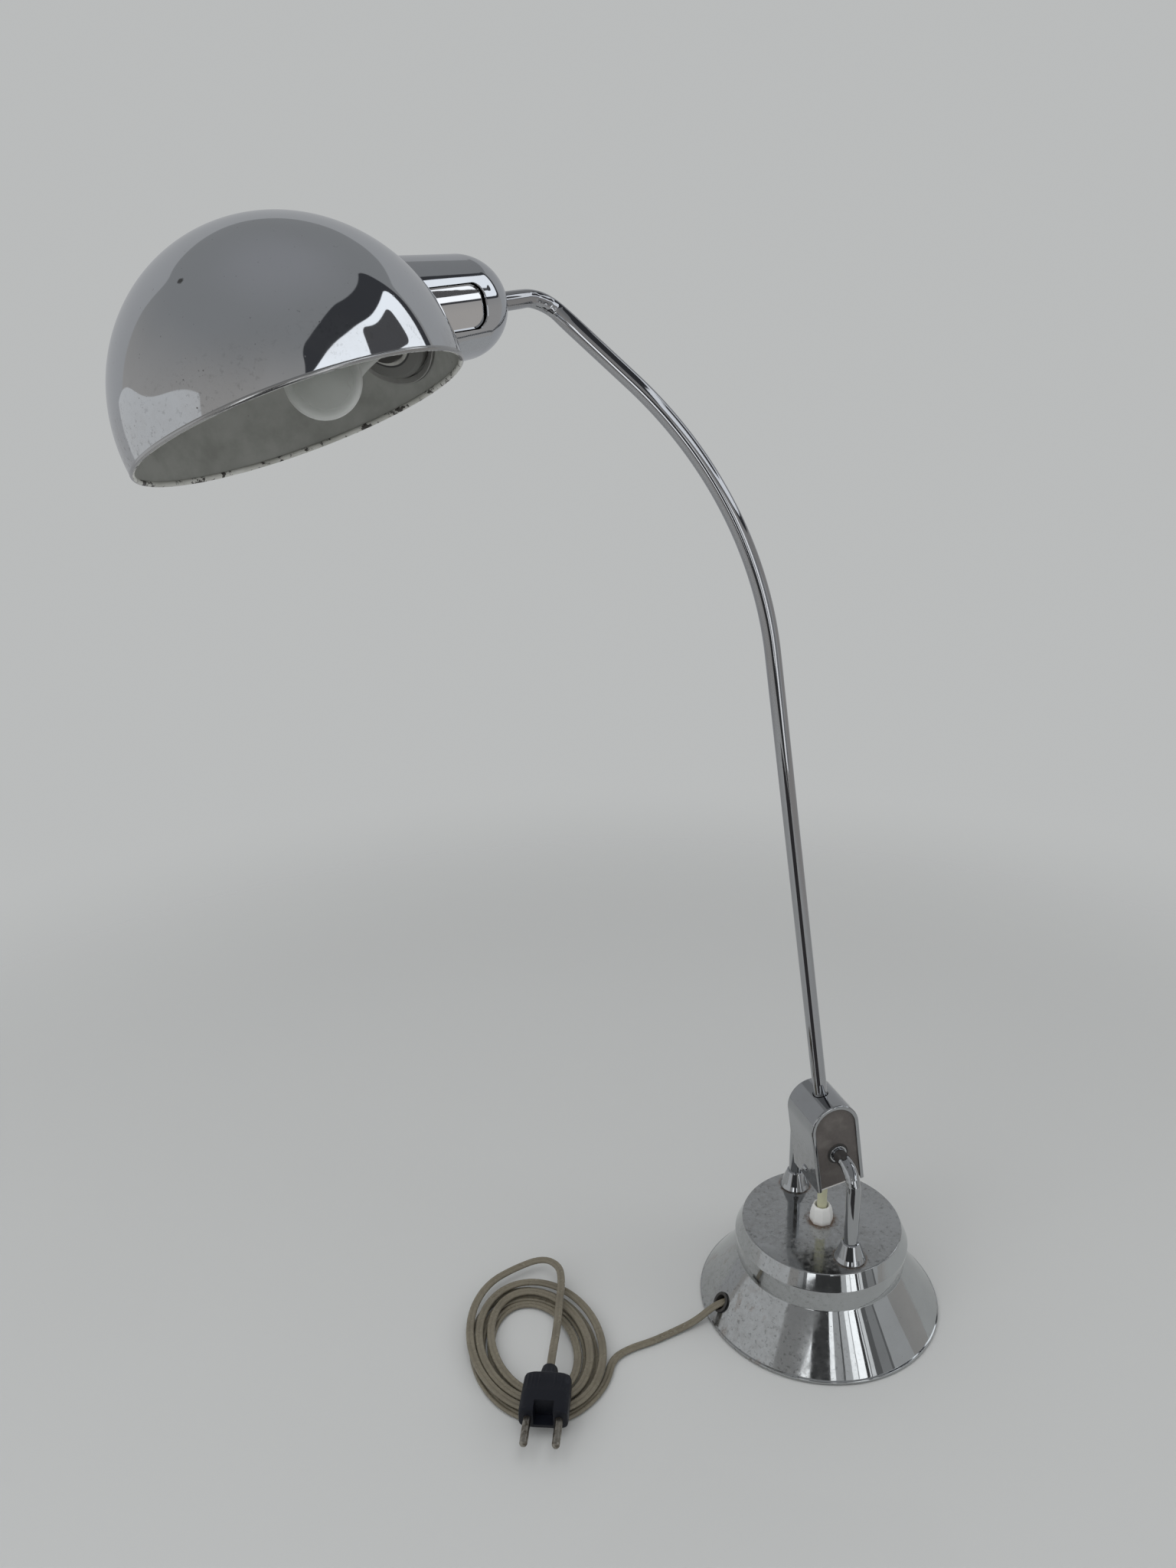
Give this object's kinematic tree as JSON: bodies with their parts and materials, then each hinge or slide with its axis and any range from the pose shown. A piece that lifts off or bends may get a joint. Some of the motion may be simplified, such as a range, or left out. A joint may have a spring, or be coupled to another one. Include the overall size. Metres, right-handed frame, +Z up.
{
  "type": "desk lamp",
  "caption": "Desk lamp with a weighted round base, tilting saddle on posts, bent tube arm and swivelling bowl shade.",
  "frame": {"origin": "centre of the base's underside, on the table", "axes": "+Z up; +Y along the saddle's axle, from the front post to the back post; the arm leans toward -X"},
  "size_m": [0.45, 0.2149, 0.6664],
  "materials": {
    "chrome_plate": "polished, clouded and pitted with age",
    "brown_plate": "dark brown-grey, satin",
    "black_rubber": "matte",
    "felt": "green felt",
    "zinc": "zinc plated",
    "iron": "as cast",
    "white_plastic": "slightly yellowed",
    "cable_sheath": "yellowed sheath",
    "phenolic": "moulded",
    "cord_sheath": "olive-brown sheath",
    "plug_black": "moulded, scuffed",
    "pin_brass": "nickelled, tarnished",
    "shade_metal": "chromed outside, white paint inside",
    "ceramic": "pale moulding",
    "frosted_glass": "frosted",
    "cap_alloy": "threaded"
  },
  "bodies": {
    "base": {"felt_pad": "felt", "bottom_plate": "zinc", "base_weight": "iron", "plate_screws": "zinc", "base_shell": "chrome_plate", "cord_grommet": "black_rubber", "post_front": "chrome_plate", "post_back": "chrome_plate", "ferrule_front": "chrome_plate", "ferrule_back": "chrome_plate", "post_washers": "zinc", "post_nuts": "zinc", "cable_gland": "white_plastic", "gland_nut": "white_plastic", "terminal_block": "phenolic", "internal_cable": "cable_sheath", "axle_nuts": "zinc", "cord_lead": "cord_sheath", "cord_coil": "cord_sheath", "cord_tail": "cord_sheath", "plug_body": "plug_black", "plug_pins": "pin_brass"},
    "saddle": {"saddle_cover": "chrome_plate", "side_plate_front": "brown_plate", "side_plate_back": "brown_plate", "axle_bush_front": "black_rubber", "axle_bush_back": "black_rubber", "arm_block": "iron", "cover_straps": "zinc", "cover_screws": "zinc"},
    "arm": {"arm_tube": "chrome_plate", "arm_flex": "cable_sheath", "arm_collar": "zinc", "arm_nut": "zinc", "tip_nut": "zinc"},
    "head": {"housing": "chrome_plate", "inner_sleeve": "chrome_plate", "head_bush": "black_rubber", "shade": "shade_metal", "shade_flange": "zinc", "lampholder_ring": "ceramic", "lampholder_body": "ceramic", "lampholder_contact": "pin_brass", "bulb_glass": "frosted_glass", "bulb_cap": "cap_alloy", "head_flex": "cable_sheath"}
  },
  "joints": [
    {"name": "saddle_tilt", "type": "hinge", "parent": "base", "child": "saddle", "pos_m": [0, 0, 0.1255], "axis": [0, 1, 0], "range_deg": [-12, 28]},
    {"name": "arm_swivel", "type": "hinge", "parent": "saddle", "child": "arm", "pos_m": [0, 0, 0.1255], "axis": [-0.1454, 0, 0.9894], "range_deg": [-90, 90]},
    {"name": "head_swivel", "type": "hinge", "parent": "arm", "child": "head", "pos_m": [-0.21445, 0.00414, 0.63257], "axis": [0.8403, 0.5312, 0.108], "range_deg": [-70, 70]}
  ]
}
